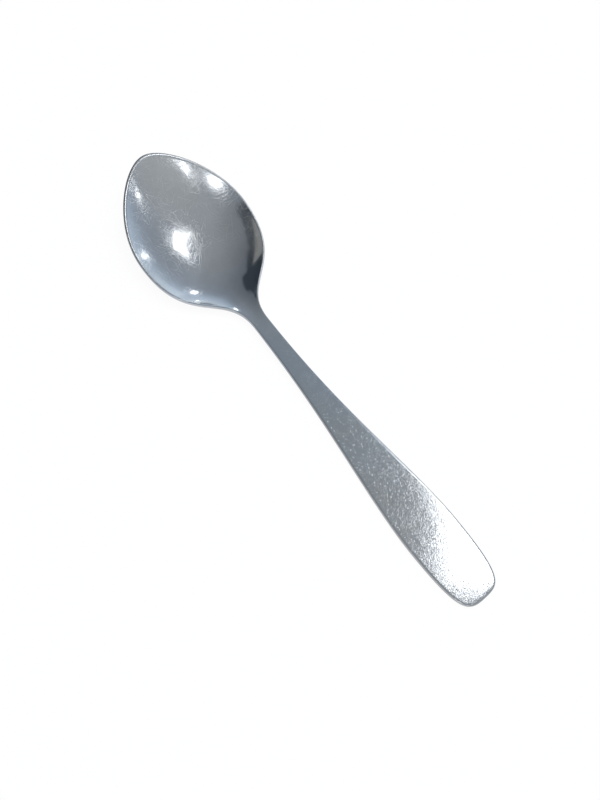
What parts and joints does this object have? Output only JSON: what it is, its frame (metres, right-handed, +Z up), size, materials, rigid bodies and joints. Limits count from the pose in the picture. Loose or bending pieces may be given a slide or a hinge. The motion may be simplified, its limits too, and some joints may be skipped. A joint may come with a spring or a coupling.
{
  "type": "serving spoon",
  "caption": "One-piece stamped spoon with a broad oval bowl drawn to a soft point, a slim neck and a long flat handle widening to a rounded end, for serving food.",
  "frame": {"origin": "middle of the spoon's length and width, on the surface that it lies on", "axes": "+X along the handle, away from the bowl; +Z up, out of the bowl's hollow"},
  "size_m": [0.2098, 0.0514, 0.0185],
  "materials": {
    "polished_steel": "polished stainless steel, finely scratched by use"
  },
  "bodies": {
    "root": {"spoon": "polished_steel"}
  },
  "joints": []
}
